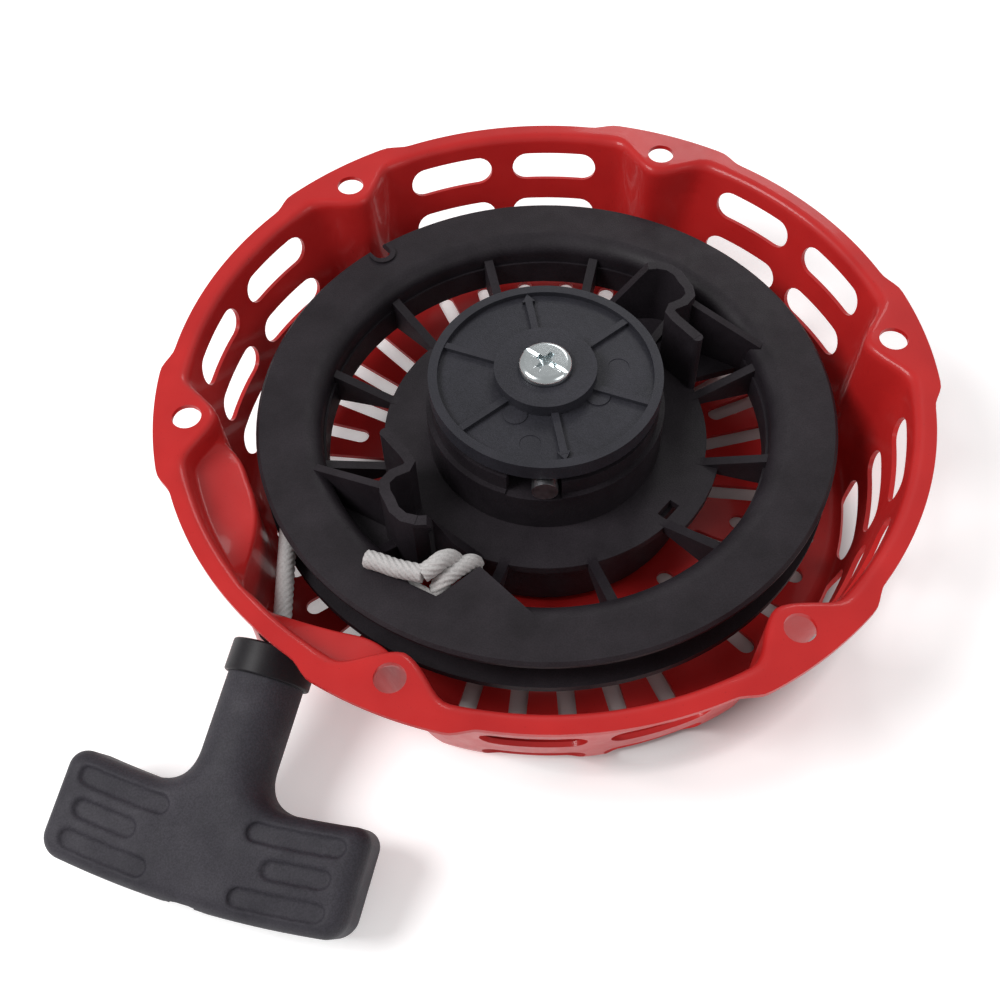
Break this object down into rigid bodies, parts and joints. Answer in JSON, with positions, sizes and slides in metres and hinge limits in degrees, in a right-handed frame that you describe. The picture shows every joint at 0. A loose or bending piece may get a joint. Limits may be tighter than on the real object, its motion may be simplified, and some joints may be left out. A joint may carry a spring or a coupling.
{
  "type": "recoil starter",
  "caption": "Hand-pulled recoil starter: pressed round slotted housing with a rope reel, return spring, swinging pawls under a guide disc and a T-grip on a rope.",
  "frame": {"origin": "centre of the bolt circle on the flange's engine-side face", "axes": "+Z along the reel's axis towards the engine; +X through one bolt hole; the closed face of the housing is at -Z"},
  "size_m": [0.2715, 0.265, 0.0622],
  "materials": {
    "red_paint": "gloss baked enamel",
    "bright_steel": "turned, plated",
    "eyelet_black": "moulded",
    "zinc_screw": "bright zinc plate",
    "rope_white": "twisted nylon",
    "reel_black": "moulded nylon, satin",
    "spring_steel": "blued spring steel",
    "pawl_steel": "hardened, dull",
    "guide_black": "moulded acetal, satin",
    "grip_black": "moulded, fine grain"
  },
  "bodies": {
    "housing": {"housing_shell": "red_paint", "centre_post": "bright_steel", "spring_hook": "bright_steel", "rope_eyelet": "eyelet_black", "guide_screw": "zinc_screw", "rope_lead": "rope_white"},
    "reel": {"reel": "reel_black", "rope_coil": "rope_white", "rope_tail": "rope_white", "rope_loop": "rope_white", "mainspring": "spring_steel", "pawl_spring_a": "spring_steel", "pawl_spring_b": "spring_steel"},
    "pawl_a": {"pawl_a": "pawl_steel"},
    "pawl_b": {"pawl_b": "pawl_steel"},
    "guide": {"ratchet_guide": "guide_black", "friction_spring": "spring_steel"},
    "handle": {"handle_grip": "grip_black", "handle_collar": "grip_black", "handle_knot": "rope_white", "rope_run": "rope_white"}
  },
  "joints": [
    {"name": "reel_spin", "type": "hinge", "parent": "housing", "child": "reel", "pos_m": [0, 0, 0], "axis": [0, 0, 1], "range_deg": [0, 900], "stiffness_Nm_per_rad": 0.012, "springref_deg": -687.55, "deforming": ["mainspring"]},
    {"name": "handle_pull", "type": "slide", "parent": "housing", "child": "handle", "axis": [-0.3833, -0.8815, -0.2756], "range_m": [0, 1.21], "deforming": ["rope_run"]},
    {"name": "guide_turn", "type": "hinge", "parent": "reel", "child": "guide", "pos_m": [0, 0, 0], "axis": [0, 0, 1], "range_deg": [-30, 0], "stiffness_Nm_per_rad": 0.01, "springref_deg": 22.92},
    {"name": "pawl_a_swing", "type": "hinge", "parent": "reel", "child": "pawl_a", "pos_m": [-0.01913, -0.01276, -0.01], "axis": [0, 0, 1], "range_deg": [-20.2, 0]},
    {"name": "pawl_b_swing", "type": "hinge", "parent": "reel", "child": "pawl_b", "pos_m": [0.01913, 0.01276, -0.01], "axis": [0, 0, 1], "range_deg": [-20.2, 0]}
  ],
  "couplings": [
    {"joint": "handle_pull", "follows": "reel_spin", "m_per_rad": 0.0767},
    {"joint": "pawl_a_swing", "follows": "guide_turn", "ratio": 0.66667},
    {"joint": "pawl_b_swing", "follows": "guide_turn", "ratio": 0.66667}
  ]
}
